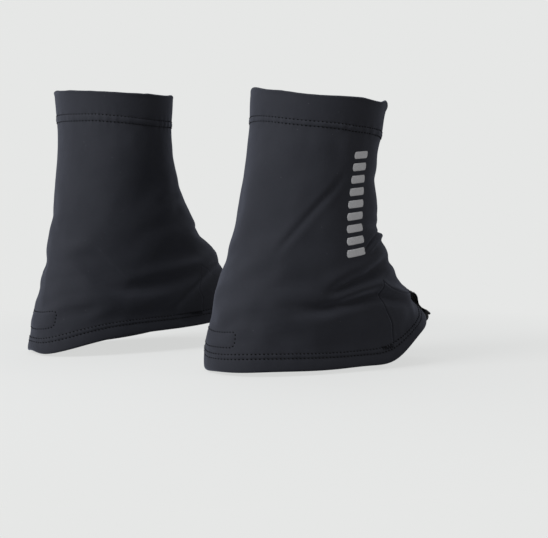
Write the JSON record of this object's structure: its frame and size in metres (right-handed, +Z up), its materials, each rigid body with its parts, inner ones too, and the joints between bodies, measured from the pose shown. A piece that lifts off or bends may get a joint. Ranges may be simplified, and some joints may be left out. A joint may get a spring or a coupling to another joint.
{
  "type": "pair of ankle gaiters",
  "caption": "Pair of short stretch-cloth ankle gaiters with turned cuffs and hems, instep gussets, lace hooks and heel patches that stick to hook tape on the shoe.",
  "frame": {"origin": "centre of the pair's footprint, at the lowest hem points", "axes": "+X toward the toes, +Y toward the wearer's left, +Z up the leg"},
  "size_m": [0.2726, 0.2882, 0.2225],
  "materials": {
    "shell_cloth": "matte stretch-woven nylon, charcoal with a slight cool sheen",
    "stitch_thread": "black polyester lockstitch thread",
    "seam_thread": "dark overlock thread",
    "elastic_tape": "braided elastic",
    "loop_tape": "brushed loop pile",
    "hook_tape": "moulded nylon hooks",
    "adhesive_film": "pressure-sensitive acrylic film",
    "webbing": "glossy black nylon webbing",
    "coated_hook": "black coated steel wire",
    "reflective_ink": "silver-grey reflective print",
    "label_tape": "blank woven satin label"
  },
  "bodies": {
    "right_lower": {"right_lower_panel": "shell_cloth", "right_instep_gusset": "shell_cloth", "right_gusset_seam_thread": "seam_thread", "right_hem_casing": "shell_cloth", "right_hem_elastic": "elastic_tape", "right_hem_stitching": "stitch_thread", "right_hem_bartacks": "stitch_thread", "right_heel_loop_patch": "loop_tape", "right_heel_patch_stitching": "stitch_thread", "right_lower_back_seam": "seam_thread", "right_lace_hook_tab": "webbing", "right_lace_tab_bartacks": "stitch_thread"},
    "right_upper": {"right_ankle_zone": "shell_cloth", "right_upper_panel": "shell_cloth", "right_upper_back_seam": "seam_thread", "right_cuff_casing": "shell_cloth", "right_cuff_elastic": "elastic_tape", "right_cuff_stitching": "stitch_thread", "right_reflective_print": "reflective_ink", "right_care_label": "label_tape"},
    "right_hook": {"right_lace_hook": "coated_hook"},
    "right_patch": {"right_shoe_hook_patch": "hook_tape", "right_shoe_patch_adhesive": "adhesive_film"},
    "left_lower": {"left_lower_panel": "shell_cloth", "left_instep_gusset": "shell_cloth", "left_gusset_seam_thread": "seam_thread", "left_hem_casing": "shell_cloth", "left_hem_elastic": "elastic_tape", "left_hem_stitching": "stitch_thread", "left_hem_bartacks": "stitch_thread", "left_heel_loop_patch": "loop_tape", "left_heel_patch_stitching": "stitch_thread", "left_lower_back_seam": "seam_thread", "left_lace_hook_tab": "webbing", "left_lace_tab_bartacks": "stitch_thread"},
    "left_upper": {"left_ankle_zone": "shell_cloth", "left_upper_panel": "shell_cloth", "left_upper_back_seam": "seam_thread", "left_cuff_casing": "shell_cloth", "left_cuff_elastic": "elastic_tape", "left_cuff_stitching": "stitch_thread", "left_reflective_print": "reflective_ink", "left_care_label": "label_tape"},
    "left_hook": {"left_lace_hook": "coated_hook"},
    "left_patch": {"left_shoe_hook_patch": "hook_tape", "left_shoe_patch_adhesive": "adhesive_film"}
  },
  "joints": [
    {"name": "pair_spacing", "type": "slide", "parent": "right_lower", "child": "left_lower", "axis": [0, 1, 0], "range_m": [0, 0.12]},
    {"name": "right_ankle_flex", "type": "hinge", "parent": "right_lower", "child": "right_upper", "pos_m": [0.02074, -0.09253, 0.09983], "axis": [0.0698, 0.9976, 0], "range_deg": [-25, 20], "stiffness_Nm_per_rad": 0.06, "deforming": ["right_ankle_zone", "right_upper_back_seam", "right_reflective_print"]},
    {"name": "right_lace_hook_swing", "type": "hinge", "parent": "right_lower", "child": "right_hook", "pos_m": [0.1282, -0.10005, 0.03859], "axis": [0.0698, 0.9976, 0], "range_deg": [-90, 30]},
    {"name": "right_heel_patch_peel", "type": "slide", "parent": "right_lower", "child": "right_patch", "axis": [0.9976, -0.0698, 0], "range_m": [0, 0.03]},
    {"name": "left_ankle_flex", "type": "hinge", "parent": "left_lower", "child": "left_upper", "pos_m": [-0.04865, 0.09369, 0.10383], "axis": [-0.0698, 0.9976, 0], "range_deg": [-25, 20], "stiffness_Nm_per_rad": 0.06, "deforming": ["left_ankle_zone", "left_upper_back_seam", "left_reflective_print"]},
    {"name": "left_lace_hook_swing", "type": "hinge", "parent": "left_lower", "child": "left_hook", "pos_m": [0.06921, 0.10193, 0.03515], "axis": [-0.0698, 0.9976, 0], "range_deg": [-90, 30]},
    {"name": "left_heel_patch_peel", "type": "slide", "parent": "left_lower", "child": "left_patch", "axis": [0.9976, 0.0698, 0], "range_m": [0, 0.03]}
  ]
}
